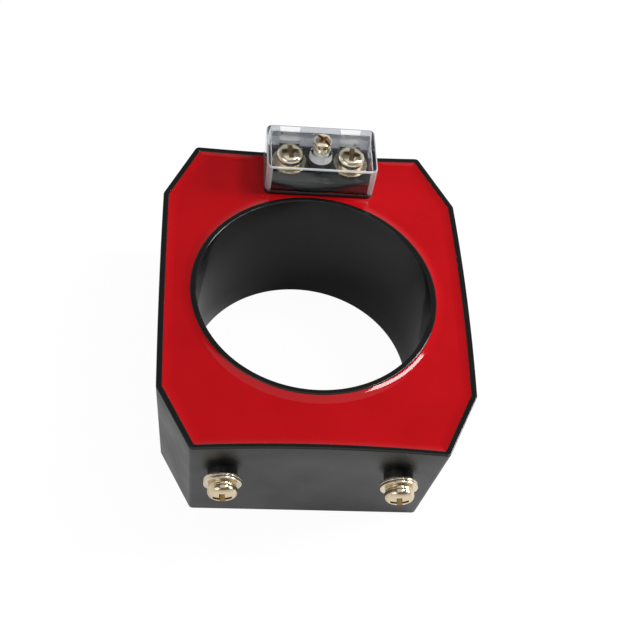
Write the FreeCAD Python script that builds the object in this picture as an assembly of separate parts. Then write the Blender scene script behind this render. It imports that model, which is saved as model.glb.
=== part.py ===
"""Window current transformer with a moulded case, potting resin and a covered terminal block.

Millimetres, +Z up. The origin is on the axis of the round window, level with the floor of the case.
The case stands on its floor with the red resin face up, the terminals are at the back (+Y) and the
screws for a mounting bracket are in the front wall (-Y).
"""

import FreeCAD, Part

import math
import os

from FreeCAD import Vector

# Case: an eight-sided box with leaning walls and the window tube, moulded as one piece
BORE_RADIUS = 40.0
TUBE_WALL = 2.0
TUBE_TO_SIDE = 10.0
TUBE_TO_END = 21.6
CASE_HEIGHT = 52.0
CORNER_CUT_X = 11.2
CORNER_CUT_Y = 22.8
FOOT_INSET_SIDES = 2.6
FOOT_INSET_ENDS = 7.6
WALL = 2.0
FLOOR = 2.5
CORNER_RADIUS = 1.6
INNER_CORNER_RADIUS = 0.8
FOOT_CHAMFER = 0.6

# The resin shrank as it set and pulled the rim out of line, in at the ends and out at the sides
RIM_SINK_FRONT = 1.4
RIM_SINK_BACK = 0.9
RIM_SWELL_LEFT = 0.3
RIM_SWELL_RIGHT = 0.9

# Resin surface below the rim, and how it climbs every wall
RESIN_BELOW_RIM = 0.8
MENISCUS_WIDTH = 2.0
MENISCUS_CLIMB = 0.6
MENISCUS_STEPS = 3

# Ring core, its wrap, the winding and the outer tape, from the inside out
COIL_TO_TUBE = 0.25
COIL_TO_SIDE = 0.25
COIL_TO_FLOOR = 1.5
COIL_TO_BLOCK = 5.7
WRAP_THICKNESS = 0.25
WIRE_THICKNESS = 0.8
WIRE_WIDTH = 1.2
TAPE_THICKNESS = 0.3
SLIP = 0.05
TURNS = 57
WINDING_SPAN = 342.0
LEAD_DIAMETER = 1.6
LEAD_BEND_RADIUS = 1.7

# Terminal block and clear cover at the back of the top face
TERMINAL_X = 3.1
FLANGE_TO_TUBE = 0.5
FLANGE_PAST_BACK = 0.8
WASHER_TO_POST = 0.6
WASHER_TO_COVER = 1.0
WASHER_TO_LIP = 0.1
COVER_HEIGHT = 12.4
COVER_WALL = 1.5
COVER_TOP = 1.6
COVER_CORNER_RADIUS = 2.4
COVER_EDGE_RADIUS = 0.8
COVER_CLEARANCE = 0.15
FLANGE_MARGIN = 0.45
FLANGE_ABOVE_RIM = 1.0
BLOCK_ABOVE_FLANGE = 4.4
BLOCK_DEPTH_IN_RESIN = 4.6
BLOCK_BODY_INSET = 3.8
BLOCK_BODY_RADIUS = 1.0
LIP_HEIGHT = 6.1
WIRE_WAY_HEIGHT = 4.25
WIRE_SLOT_WIDTH = 7.4

# Screw well of the cover and the post that it stands on
WELL_DEPTH = 4.5
WELL_FLOOR = 1.3
WELL_RADIUS = 2.9
WELL_WALL_TOP = 0.8
WELL_WALL_BOTTOM = 1.3
POST_RADIUS = 4.2

# M5 pan-head screws with a spring washer and a flat washer, at the terminals and in the front wall
SCREW_DIAMETER = 5.0
HEAD_DIAMETER = 9.7
HEAD_HEIGHT = 3.5
RECESS_SPAN = 6.3
RECESS_WIDTH = 1.6
RECESS_DEPTH = 2.3
FLAT_WASHER_DIAMETER = 12.3
FLAT_WASHER_THICKNESS = 1.0
SPRING_WASHER_DIAMETER = 9.0
SPRING_WASHER_THICKNESS = 1.3
WASHER_CLEARANCE = 0.15
SPRING_SPLIT = 0.8
THREAD_CLEARANCE = 0.02
INSERT_WALL = 1.2
INSERT_LENGTH = 8.0
INSERT_END = 1.0
TERMINAL_TIP_TO_END = 0.3

# Bracket screws, not driven home, in round pads moulded square to the leaning front wall
BRACKET_X = -1.2
BRACKET_TO_SIDE = 23.5
BRACKET_TO_RIM = 17.8
BRACKET_PAD_HEIGHT = 1.9
BRACKET_PAD_WALL = 1.1
BRACKET_PAD_EDGE = 0.4
BRACKET_GAP = 0.5
BRACKET_TIP_TO_END = 1.3
BRACKET_INSERT_SETBACK = 0.3
BOSS_WALL = 2.0
BOSS_END = 0.8

# M4 cheese-head screw of the cover, also not driven home
COVER_SCREW_DIAMETER = 4.0
COVER_SCREW_GRIP = 4.1
COVER_HEAD_DIAMETER = 6.2
COVER_HEAD_HEIGHT = 2.1
COVER_HEAD_LIFT = 1.5
COVER_SPRING_DIAMETER = 5.4
COVER_SPRING_THICKNESS = 1.0
COVER_SLOT_WIDTH = 1.1
COVER_SLOT_DEPTH = 1.1
COVER_INSERT_WALL = 1.0
COVER_INSERT_LENGTH = 8.0

# Places that follow from the sizes above
TUBE_OUTER = BORE_RADIUS + TUBE_WALL
CASE_WIDTH = 2 * (TUBE_OUTER + TUBE_TO_SIDE)
CASE_DEPTH = 2 * (TUBE_OUTER + TUBE_TO_END)
BRACKET_PITCH = CASE_WIDTH - 2 * BRACKET_TO_SIDE
BRACKET_HEIGHT = CASE_HEIGHT - BRACKET_TO_RIM
FLANGE_DEPTH = TUBE_TO_END + FLANGE_PAST_BACK - FLANGE_TO_TUBE
COVER_DEPTH = FLANGE_DEPTH - 2 * FLANGE_MARGIN
TERMINAL_Y = TUBE_OUTER + FLANGE_TO_TUBE + FLANGE_DEPTH / 2
TERMINAL_PITCH = 2 * (POST_RADIUS + WASHER_TO_POST) + FLAT_WASHER_DIAMETER
COVER_WIDTH = TERMINAL_PITCH + FLAT_WASHER_DIAMETER + 2 * (WASHER_TO_COVER + COVER_WALL)
RESIN_LEVEL = CASE_HEIGHT - RESIN_BELOW_RIM
TERMINAL_STACK = FLAT_WASHER_THICKNESS + SPRING_WASHER_THICKNESS
TERMINAL_SHANK = TERMINAL_STACK + INSERT_LENGTH - INSERT_END - TERMINAL_TIP_TO_END
BRACKET_STACK = BRACKET_GAP + 2 * FLAT_WASHER_THICKNESS + SPRING_WASHER_THICKNESS + BRACKET_INSERT_SETBACK
BRACKET_INSERT_FACE = BRACKET_PAD_HEIGHT - BRACKET_INSERT_SETBACK
BRACKET_SHANK = BRACKET_STACK + INSERT_LENGTH - INSERT_END - BRACKET_TIP_TO_END
COVER_SHANK = COVER_SPRING_THICKNESS + COVER_HEAD_LIFT + WELL_DEPTH + COVER_SCREW_GRIP
COVER_SEAT = CASE_HEIGHT + FLANGE_ABOVE_RIM
COVER_TOP_FACE = COVER_SEAT + COVER_HEIGHT
BLOCK_TOP = COVER_SEAT + BLOCK_ABOVE_FLANGE
BLOCK_BOTTOM = RESIN_LEVEL - BLOCK_DEPTH_IN_RESIN
WELL_BOTTOM = COVER_TOP_FACE - WELL_DEPTH
INSERT_RADIUS = SCREW_DIAMETER / 2 + INSERT_WALL
COVER_INSERT_RADIUS = COVER_SCREW_DIAMETER / 2 + COVER_INSERT_WALL
COIL_BOTTOM = FLOOR + COIL_TO_FLOOR
COIL_TOP = BLOCK_BOTTOM - COIL_TO_BLOCK
COIL_INNER = TUBE_OUTER + COIL_TO_TUBE
COIL_OUTER = TUBE_OUTER + TUBE_TO_SIDE - FOOT_INSET_SIDES - WALL - COIL_TO_SIDE
UP = Vector(0, 0, 1)


def polygon_of_case(z, inset):
    """Corner points of the case outline at height z, with each side moved in by inset."""
    low = 1 - z / CASE_HEIGHT
    half_x, half_y = CASE_WIDTH / 2, CASE_DEPTH / 2
    points = [
        (-half_x + CORNER_CUT_X, -half_y), (half_x - CORNER_CUT_X, -half_y),
        (half_x, -half_y + CORNER_CUT_Y), (half_x, half_y - CORNER_CUT_Y),
        (half_x - CORNER_CUT_X, half_y), (-half_x + CORNER_CUT_X, half_y),
        (-half_x, half_y - CORNER_CUT_Y), (-half_x, -half_y + CORNER_CUT_Y),
    ]
    between = (FOOT_INSET_SIDES + FOOT_INSET_ENDS) / 2
    foot_insets = [FOOT_INSET_ENDS, between, FOOT_INSET_SIDES, between] * 2
    sides = []
    for i, (start, foot_inset) in enumerate(zip(points, foot_insets)):
        end = points[(i + 1) % len(points)]
        along = Vector(end[0] - start[0], end[1] - start[1], 0).normalize()
        inward = Vector(-along.y, along.x, 0)
        sides.append((Vector(start[0], start[1], z) + inward * (inset + foot_inset * low), along))
    corners = []
    for i, (origin, along) in enumerate(sides):
        before_origin, before = sides[i - 1]
        gap = origin - before_origin
        cross = before.x * along.y - before.y * along.x
        corners.append(before_origin + before * ((gap.x * along.y - gap.y * along.x) / cross))
    return corners


def outline_of_case(z, inset=0.0, radius=CORNER_RADIUS):
    """Closed wire of the case outline at height z, with rounded corners and the pulled rim."""
    corners = polygon_of_case(z, inset)
    pull = z / CASE_HEIGHT
    swells = {0: -RIM_SINK_FRONT * pull, 2: RIM_SWELL_RIGHT * pull, 4: -RIM_SINK_BACK * pull, 6: RIM_SWELL_LEFT * pull}
    arcs = []
    for i, corner in enumerate(corners):
        arrive = (corner - corners[i - 1]).normalize()
        leave = (corners[(i + 1) % len(corners)] - corner).normalize()
        half_turn = arrive.getAngle(leave) / 2
        reach = radius * math.tan(half_turn)
        inward = (leave - arrive).normalize()
        middle = corner + inward * (radius / math.cos(half_turn) - radius)
        arcs.append((corner - arrive * reach, middle, corner + leave * reach))
    edges = []
    for i, (start, middle, end) in enumerate(arcs):
        edges.append(Part.Arc(start, middle, end).toShape())
        next_start = arcs[(i + 1) % len(arcs)][0]
        swell = swells.get(i, 0.0)
        if abs(swell) < 1e-6:
            edges.append(Part.makeLine(end, next_start))
        else:
            outward = (next_start - end).normalize().cross(UP)
            edges.append(Part.Arc(end, (end + next_start) * 0.5 + outward * swell, next_start).toShape())
    return Part.Wire(edges)


def loft(*wires):
    return Part.makeLoft(list(wires), True, True)


def ring(inner, outer, bottom, top):
    """Plain tube about the window axis."""
    return revolved([(inner, bottom), (outer, bottom), (outer, top), (inner, top)])


def rounded_prism(x, y, width, depth, bottom, top, radius):
    """Upright block with rounded vertical edges, centred on x, y."""
    block = Part.makeBox(width, depth, top - bottom, Vector(x - width / 2, y - depth / 2, bottom))
    upright = [edge for edge in block.Edges if abs(edge.tangentAt(edge.FirstParameter).z) > 0.9]
    return block.makeFillet(radius, upright)


def cylinder(x, y, bottom, top, radius):
    return Part.makeCylinder(radius, top - bottom, Vector(x, y, bottom))


def revolved(points):
    """Solid turned about the Z axis from a profile of (radius, height) points; a triple is an arc."""
    edges = []
    here = points[0]
    for step in points[1:] + [points[0]]:
        if len(step) == 4:
            middle, end = step[:2], step[2:]
            edges.append(Part.Arc(*(Vector(r, 0, z) for r, z in (here, middle, end))).toShape())
        else:
            end = step
            edges.append(Part.makeLine(Vector(here[0], 0, here[1]), Vector(end[0], 0, end[1])))
        here = end
    return Part.Face(Part.Wire(edges)).revolve(Vector(0, 0, 0), UP, 360)


def make_cavity():
    """Inside of the case, from its floor to the rim."""
    return loft(outline_of_case(FLOOR, WALL, INNER_CORNER_RADIUS), outline_of_case(CASE_HEIGHT, WALL, INNER_CORNER_RADIUS))


def bracket_places():
    """Wall point of each bracket screw, with a rotation that turns +Z out of the front wall."""
    wall_y = -(CASE_DEPTH / 2 - FOOT_INSET_ENDS * (1 - BRACKET_HEIGHT / CASE_HEIGHT))
    lean = math.degrees(math.atan(FOOT_INSET_ENDS / CASE_HEIGHT))
    turn = FreeCAD.Rotation(Vector(1, 0, 0), 90 + lean)
    return {
        "left": FreeCAD.Placement(Vector(BRACKET_X - BRACKET_PITCH / 2, wall_y, BRACKET_HEIGHT), turn),
        "right": FreeCAD.Placement(Vector(BRACKET_X + BRACKET_PITCH / 2, wall_y, BRACKET_HEIGHT), turn),
    }


def placed(shape, placement):
    moved = shape.copy()
    moved.Placement = placement.multiply(moved.Placement)
    return moved


def terminal_places():
    """Top of the terminal block at each terminal."""
    return {
        "s1": FreeCAD.Placement(Vector(TERMINAL_X - TERMINAL_PITCH / 2, TERMINAL_Y, BLOCK_TOP), FreeCAD.Rotation()),
        "s2": FreeCAD.Placement(Vector(TERMINAL_X + TERMINAL_PITCH / 2, TERMINAL_Y, BLOCK_TOP), FreeCAD.Rotation()),
    }


def post_place():
    """Top of the post that the cover screw goes into."""
    return FreeCAD.Placement(Vector(TERMINAL_X, TERMINAL_Y, WELL_BOTTOM), FreeCAD.Rotation())


def bracket_pockets():
    """Space that each bracket insert takes up in its pad and the wall, open to the outside."""
    pocket = cylinder(0, 0, BRACKET_INSERT_FACE - INSERT_LENGTH, BRACKET_PAD_HEIGHT + WALL, INSERT_RADIUS)
    return [placed(pocket, place) for place in bracket_places().values()]


def block_pockets():
    """Space that the terminal inserts and the cover insert take up in the terminal block."""
    pockets = [placed(cylinder(0, 0, -INSERT_LENGTH, 0, INSERT_RADIUS), place) for place in terminal_places().values()]
    pockets.append(placed(cylinder(0, 0, -COVER_INSERT_LENGTH, 0, COVER_INSERT_RADIUS), post_place()))
    return pockets


def make_case(cavity):
    shell = loft(
        outline_of_case(0, FOOT_CHAMFER),
        outline_of_case(FOOT_CHAMFER),
        outline_of_case(CASE_HEIGHT),
    ).cut(cavity)
    tube = cylinder(0, 0, 0, CASE_HEIGHT, TUBE_OUTER)
    case = shell.fuse(tube)
    boss = cylinder(0, 0, BRACKET_INSERT_FACE - INSERT_LENGTH - BOSS_END, -WALL / 2, INSERT_RADIUS + BOSS_WALL)
    pad, face, edge = INSERT_RADIUS + BRACKET_PAD_WALL, BRACKET_PAD_HEIGHT, BRACKET_PAD_EDGE
    pad = revolved([(0, -WALL / 2), (pad, -WALL / 2), (pad, face - edge), (pad - edge, face), (0, face)])
    for place in bracket_places().values():
        case = case.fuse(placed(boss, place)).fuse(placed(pad, place))
    case = case.cut(cylinder(0, 0, -WALL, CASE_HEIGHT + WALL, BORE_RADIUS))
    return case.cut(bracket_pockets()).removeSplitter()


def coil_layers():
    """Inner radius, outer radius, bottom and top of each layer of the coil, from the tape inwards."""
    layers = {}
    inner, outer, bottom, top = COIL_INNER, COIL_OUTER, COIL_BOTTOM, COIL_TOP
    for name, thickness in (("tape", TAPE_THICKNESS), ("wire", WIRE_THICKNESS), ("wrap", WRAP_THICKNESS), ("core", 0)):
        layers[name] = (inner, outer, bottom, top)
        step = thickness + (0 if name == "wrap" else SLIP)
        inner, outer, bottom, top = inner + step, outer - step, bottom + step, top - step
    return layers


def hollow_ring(layer, thickness):
    """Wrapping of even thickness round a ring of rectangular section."""
    inner, outer, bottom, top = layer
    inside = ring(inner + thickness, outer - thickness, bottom + thickness, top - thickness)
    return ring(inner, outer, bottom, top).cut(inside)


def winding_angles():
    first = math.radians(90 + (360 - WINDING_SPAN) / 2)
    pitch = math.radians(WINDING_SPAN) / TURNS
    return [first + pitch * turn for turn in range(TURNS + 1)]


def make_winding(layer):
    """One flat wire wound round the ring, with mitred corners, slanting at the bottom to the next turn."""
    inner, outer, bottom, top = layer
    half = WIRE_THICKNESS / 2
    corners = {
        "inner_top": (inner + half, top - half, -half, half),
        "outer_top": (outer - half, top - half, half, half),
        "outer_bottom": (outer - half, bottom + half, half, -half),
        "inner_bottom": (inner + half, bottom + half, -half, -half),
    }

    def section(angle, corner):
        radius, height, out, up = corners[corner]
        radial = Vector(math.cos(angle), math.sin(angle), 0)
        across = Vector(-math.sin(angle), math.cos(angle), 0) * (WIRE_WIDTH / 2)
        outside = radial * (radius + out) + UP * (height + up)
        inside = radial * (radius - out) + UP * (height - up)
        return [outside - across, outside + across, inside + across, inside - across]

    angles = winding_angles()
    sections = [section(angles[0], "inner_top"), section(angles[0], "outer_top")]
    for angle, next_angle in zip(angles, angles[1:]):
        sections.append(section(angle, "outer_bottom"))
        sections.append(section(next_angle, "inner_bottom"))
        sections.append(section(next_angle, "inner_top"))
        sections.append(section(next_angle, "outer_top"))
    faces = []

    def add(*points):
        faces.append(Part.Face(Part.makePolygon([*points, points[0]])))

    for first, second in zip(sections, sections[1:]):
        for i in range(4):
            j = (i + 1) % 4
            add(first[i], first[j], second[j])
            add(first[i], second[j], second[i])
    for cap in (sections[0], sections[-1]):
        add(cap[0], cap[1], cap[2])
        add(cap[0], cap[2], cap[3])
    winding = Part.makeSolid(Part.makeShell(faces))
    if winding.Volume < 0:
        winding.reverse()
    return winding


def route(points, bend):
    """Straight runs joined by tangent arcs of one radius."""
    edges = []
    here = points[0]
    for before, corner, after in zip(points, points[1:], points[2:]):
        arrive = (corner - before).normalize()
        leave = (after - corner).normalize()
        half_turn = arrive.getAngle(leave) / 2
        reach = bend * math.tan(half_turn)
        start, end = corner - arrive * reach, corner + leave * reach
        inward = (leave - arrive).normalize()
        middle = corner + inward * (bend / math.cos(half_turn) - bend)
        edges.append(Part.makeLine(here, start))
        edges.append(Part.Arc(start, middle, end).toShape())
        here = end
    edges.append(Part.makeLine(here, points[-1]))
    return Part.Wire(edges)


def make_lead(angle, place, wire_layer):
    """Round lead from the top of the winding to the underside of a terminal insert."""
    inner, outer, _, wire_top = wire_layer
    radius = (inner + outer) / 2
    start = Vector(radius * math.cos(angle), radius * math.sin(angle), wire_top)
    end = place.Base - UP * INSERT_LENGTH
    level = (start.z + end.z) / 2
    points = [start, Vector(start.x, start.y, level), Vector(end.x, end.y, level), end]
    profile = Part.Wire(Part.makeCircle(LEAD_DIAMETER / 2, start, UP))
    return route(points, LEAD_BEND_RADIUS).makePipeShell([profile], True, False)


def make_terminal_base(cavity, leads):
    width = COVER_WIDTH + 2 * FLANGE_MARGIN
    radius = COVER_CORNER_RADIUS + FLANGE_MARGIN
    flange = rounded_prism(TERMINAL_X, TERMINAL_Y, width, FLANGE_DEPTH, CASE_HEIGHT, COVER_SEAT, radius)
    under = rounded_prism(TERMINAL_X, TERMINAL_Y, width, FLANGE_DEPTH, RESIN_LEVEL - WALL / 2, CASE_HEIGHT, radius)
    base = flange.fuse(under.common(cavity))
    body_width, body_depth = COVER_WIDTH - 2 * BLOCK_BODY_INSET, COVER_DEPTH - 2 * BLOCK_BODY_INSET
    body = rounded_prism(TERMINAL_X, TERMINAL_Y, body_width, body_depth, BLOCK_BOTTOM, CASE_HEIGHT, BLOCK_BODY_RADIUS)
    base = base.fuse(body.common(cavity))
    shrink = 2 * (COVER_WALL + COVER_CLEARANCE)
    inner_width, inner_depth = COVER_WIDTH - shrink, COVER_DEPTH - shrink
    inner_radius = COVER_CORNER_RADIUS - COVER_WALL
    block = rounded_prism(TERMINAL_X, TERMINAL_Y, inner_width, inner_depth, COVER_SEAT, BLOCK_TOP + LIP_HEIGHT, inner_radius)
    front_of_lip = Part.makeBox(
        COVER_WIDTH, inner_depth / 2 + FLAT_WASHER_DIAMETER / 2 + WASHER_TO_LIP, LIP_HEIGHT,
        Vector(TERMINAL_X - COVER_WIDTH / 2, TERMINAL_Y - inner_depth / 2, BLOCK_TOP),
    )
    base = base.fuse(block.cut(front_of_lip))
    for place in terminal_places().values():
        wire_way = Part.makeBox(
            WIRE_SLOT_WIDTH, COVER_DEPTH, WIRE_WAY_HEIGHT, Vector(place.Base.x - WIRE_SLOT_WIDTH / 2, TERMINAL_Y, BLOCK_TOP),
        )
        base = base.cut(wire_way)
    base = base.fuse(cylinder(TERMINAL_X, TERMINAL_Y, COVER_SEAT, WELL_BOTTOM, POST_RADIUS))
    return base.cut(block_pockets() + leads).removeSplitter()


def make_cover():
    """Clear cover: a rounded box open below, with a screw well and two wire slots in its back wall."""
    outer = rounded_prism(TERMINAL_X, TERMINAL_Y, COVER_WIDTH, COVER_DEPTH, COVER_SEAT, COVER_TOP_FACE, COVER_CORNER_RADIUS)
    rim = [edge for edge in outer.Edges if min(v.Z for v in edge.Vertexes) > COVER_TOP_FACE - 1e-6]
    outer = outer.makeFillet(COVER_EDGE_RADIUS, rim)
    inner = rounded_prism(
        TERMINAL_X, TERMINAL_Y, COVER_WIDTH - 2 * COVER_WALL, COVER_DEPTH - 2 * COVER_WALL,
        COVER_SEAT, COVER_TOP_FACE - COVER_TOP, COVER_CORNER_RADIUS - COVER_WALL,
    )
    cover = outer.cut(inner)
    well = Part.makeCone(
        WELL_RADIUS + WELL_WALL_BOTTOM, WELL_RADIUS + WELL_WALL_TOP, WELL_DEPTH - COVER_TOP / 2,
        Vector(TERMINAL_X, TERMINAL_Y, WELL_BOTTOM),
    )
    cover = cover.fuse(well)
    cover = cover.cut(cylinder(TERMINAL_X, TERMINAL_Y, WELL_BOTTOM + WELL_FLOOR, COVER_TOP_FACE + 1, WELL_RADIUS))
    screw_hole = COVER_SCREW_DIAMETER / 2 + WASHER_CLEARANCE
    cover = cover.cut(cylinder(TERMINAL_X, TERMINAL_Y, WELL_BOTTOM, WELL_BOTTOM + WELL_FLOOR, screw_hole))
    inside_back = TERMINAL_Y + COVER_DEPTH / 2 - COVER_WALL
    for place in terminal_places().values():
        slot = Part.makeBox(
            WIRE_SLOT_WIDTH, 2 * COVER_WALL, COVER_HEIGHT,
            Vector(place.Base.x - WIRE_SLOT_WIDTH / 2, inside_back, COVER_SEAT),
        )
        cover = cover.cut(slot)
    return cover.removeSplitter()


def make_resin(cavity, case, coil, base, leads):
    """Potting resin: fills what is left of the cavity and climbs every wall a little."""
    climbed = RESIN_LEVEL + MENISCUS_CLIMB
    above = Part.makeBox(CASE_WIDTH * 2, CASE_DEPTH * 2, CASE_HEIGHT, Vector(-CASE_WIDTH, -CASE_DEPTH, climbed))
    dish = None
    for step in range(MENISCUS_STEPS):
        near, far = (step + 1) / MENISCUS_STEPS, step / MENISCUS_STEPS
        low, high = RESIN_LEVEL + MENISCUS_CLIMB * far ** 3, RESIN_LEVEL + MENISCUS_CLIMB * near ** 3
        inset_low, inset_high = MENISCUS_WIDTH * (1 - far), MENISCUS_WIDTH * (1 - near)
        bowl = loft(
            outline_of_case(low, WALL + inset_low, INNER_CORNER_RADIUS),
            outline_of_case(high, WALL + inset_high, INNER_CORNER_RADIUS),
        )
        bowl = bowl.cut(Part.makeCone(TUBE_OUTER + inset_low, TUBE_OUTER + inset_high, high - low, Vector(0, 0, low)))
        dish = bowl if dish is None else dish.fuse(bowl)
    resin = cavity.cut(above).cut(dish)
    window = cylinder(0, 0, 0, CASE_HEIGHT, TUBE_OUTER)
    return resin.cut([case, window, coil, base, *leads, *bracket_pockets(), *block_pockets()])


def cross_recess(span, width, depth, top):
    """Cross-shaped tapered recess sunk into a screw head from the height top."""
    half, tip = span / 2, span / 5
    overlap = depth / 4
    points = [(-half, top + overlap), (half, top + overlap), (half, top), (tip, top - depth), (-tip, top - depth), (-half, top)]
    corners = [Vector(x, -width / 2, z) for x, z in points]
    wing = Part.Face(Part.makePolygon([*corners, corners[0]])).extrude(Vector(0, width, 0))
    crossing = wing.copy()
    crossing.rotate(Vector(0, 0, 0), UP, 90)
    return wing.fuse(crossing)


def pan_head_screw(length):
    """M5 pan-head screw, with the underside of its head at height 0 and its shank below."""
    head, shank, tip = HEAD_DIAMETER / 2, SCREW_DIAMETER / 2, SCREW_DIAMETER / 8
    screw = revolved([
        (0, -length), (shank - tip, -length), (shank, tip - length), (shank, 0), (head, 0), (head, HEAD_HEIGHT * 0.4),
        (head * 0.93, HEAD_HEIGHT * 0.7, head * 0.74, HEAD_HEIGHT * 0.88),
        (head * 0.38, HEAD_HEIGHT * 0.97, 0, HEAD_HEIGHT),
    ])
    recess = cross_recess(RECESS_SPAN, RECESS_WIDTH, RECESS_DEPTH, HEAD_HEIGHT)
    recess.rotate(Vector(0, 0, 0), UP, 6)
    return screw.cut(recess)


def flat_washer(bottom):
    hole, edge = SCREW_DIAMETER / 2 + WASHER_CLEARANCE, FLAT_WASHER_THICKNESS / 6
    outer, top = FLAT_WASHER_DIAMETER / 2, bottom + FLAT_WASHER_THICKNESS
    return revolved([
        (hole, bottom), (outer - edge, bottom), (outer, bottom + edge), (outer, top - edge), (outer - edge, top), (hole, top),
    ])


def spring_washer(bottom, diameter, screw_diameter, thickness):
    """Split ring, closed up flat by the screw head above it."""
    hole = screw_diameter / 2 + WASHER_CLEARANCE
    washer = ring(hole, diameter / 2, bottom, bottom + thickness)
    split = Part.makeBox(diameter, SPRING_SPLIT, thickness * 2, Vector(0, -SPRING_SPLIT / 2, bottom - thickness / 2))
    split.rotate(Vector(0, 0, bottom + thickness / 2), Vector(1, 0, 0), 25)
    return washer.cut(split)


def screw_stack(place, gap, length):
    """Flat washer, spring washer and screw, the first of them lying gap above the place."""
    above_flat = gap + FLAT_WASHER_THICKNESS
    under_head = above_flat + SPRING_WASHER_THICKNESS
    screw = pan_head_screw(length)
    screw.translate(UP * under_head)
    spring = spring_washer(above_flat, SPRING_WASHER_DIAMETER, SCREW_DIAMETER, SPRING_WASHER_THICKNESS)
    return placed(screw, place), placed(spring, place), placed(flat_washer(gap), place)


def insert(place, length, radius, screw_diameter):
    """Brass insert with its face at the place and a blind threaded hole."""
    body = cylinder(0, 0, -length, 0, radius)
    hole = cylinder(0, 0, INSERT_END - length, 0, screw_diameter / 2 + THREAD_CLEARANCE)
    return placed(body.cut(hole), place)


def make_cover_screw():
    """Cheese-head screw with a cross and a slot in its head, and its spring washer."""
    head, shank = COVER_HEAD_DIAMETER / 2, COVER_SCREW_DIAMETER / 2
    tip, edge = shank / 4, COVER_HEAD_HEIGHT / 5
    screw = revolved([
        (0, -COVER_SHANK), (shank - tip, -COVER_SHANK), (shank, tip - COVER_SHANK), (shank, 0),
        (head, 0), (head, COVER_HEAD_HEIGHT - edge), (head - edge, COVER_HEAD_HEIGHT), (0, COVER_HEAD_HEIGHT),
    ])
    slot = Part.makeBox(
        COVER_HEAD_DIAMETER * 1.2, COVER_SLOT_WIDTH, COVER_SLOT_DEPTH * 2,
        Vector(-COVER_HEAD_DIAMETER * 0.6, -COVER_SLOT_WIDTH / 2, COVER_HEAD_HEIGHT - COVER_SLOT_DEPTH),
    )
    recess = cross_recess(COVER_HEAD_DIAMETER * 0.7, COVER_SLOT_WIDTH, COVER_HEAD_HEIGHT * 0.75, COVER_HEAD_HEIGHT)
    screw = screw.cut(slot).cut(recess)
    screw.rotate(Vector(0, 0, 0), UP, 130)
    under_head = COVER_TOP_FACE + COVER_HEAD_LIFT + COVER_SPRING_THICKNESS
    place = FreeCAD.Placement(Vector(TERMINAL_X, TERMINAL_Y, under_head), FreeCAD.Rotation())
    spring = spring_washer(-COVER_SPRING_THICKNESS, COVER_SPRING_DIAMETER, COVER_SCREW_DIAMETER, COVER_SPRING_THICKNESS)
    return placed(screw, place), placed(spring, place)


def build():
    """Every piece by the name of its node."""
    pieces = {}
    cavity = make_cavity()
    case = make_case(cavity)
    pieces["case"] = case

    layers = coil_layers()
    pieces["core"] = ring(*layers["core"])
    pieces["core_insulation"] = hollow_ring(layers["wrap"], WRAP_THICKNESS)
    pieces["secondary_winding"] = make_winding(layers["wire"])
    angles = winding_angles()
    places = terminal_places()
    leads = [make_lead(angles[0], places["s1"], layers["wire"]), make_lead(angles[-1], places["s2"], layers["wire"])]
    pieces["lead_s1"], pieces["lead_s2"] = leads
    tape = hollow_ring(layers["tape"], TAPE_THICKNESS)
    for lead in leads:
        tape = tape.cut(lead)
    pieces["winding_tape"] = tape

    base = make_terminal_base(cavity, leads)
    pieces["terminal_base"] = base
    pieces["potting_resin"] = make_resin(cavity, case, ring(*layers["tape"]), base, leads)
    pieces["terminal_cover"] = make_cover()
    pieces["cover_screw"], pieces["cover_spring_washer"] = make_cover_screw()
    pieces["cover_insert"] = insert(post_place(), COVER_INSERT_LENGTH, COVER_INSERT_RADIUS, COVER_SCREW_DIAMETER)

    for name, place in places.items():
        screw, spring, flat = screw_stack(place, 0, TERMINAL_SHANK)
        pieces["terminal_screw_" + name] = screw
        pieces["terminal_spring_washer_" + name] = spring
        pieces["terminal_flat_washer_" + name] = flat
        pieces["terminal_insert_" + name] = insert(place, INSERT_LENGTH, INSERT_RADIUS, SCREW_DIAMETER)

    above_pad = BRACKET_PAD_HEIGHT + BRACKET_GAP
    for name, place in bracket_places().items():
        pieces["bracket_back_washer_" + name] = placed(flat_washer(above_pad), place)
        screw, spring, flat = screw_stack(place, above_pad + FLAT_WASHER_THICKNESS, BRACKET_SHANK)
        pieces["bracket_screw_" + name] = screw
        pieces["bracket_spring_washer_" + name] = spring
        pieces["bracket_flat_washer_" + name] = flat
        insert_face = place.multiply(FreeCAD.Placement(Vector(0, 0, BRACKET_INSERT_FACE), FreeCAD.Rotation()))
        pieces["bracket_insert_" + name] = insert(insert_face, INSERT_LENGTH, INSERT_RADIUS, SCREW_DIAMETER)
    return pieces


os.makedirs("parts", exist_ok=True)
for node, shape in build().items():
    shape.exportStep("parts/" + node + ".step")
    print(node, len(shape.Solids), "solid", round(shape.Volume, 1), "mm3", "valid" if shape.isValid() else "NOT VALID")
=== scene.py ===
# %% [markdown]
# # A window current transformer in Blender
#
# This lesson dresses a window current transformer: a black moulded case with a round window for the
# conductor, filled with red casting resin, with two terminals under a clear cover and two loose
# screws in the front wall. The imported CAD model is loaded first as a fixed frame. Every piece that
# follows is made in the same frame, in millimetres, and scaled to metres only when its mesh is made.

import math

import bmesh
import bpy
import numpy as np
from mathutils import Matrix, Quaternion, Vector


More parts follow.
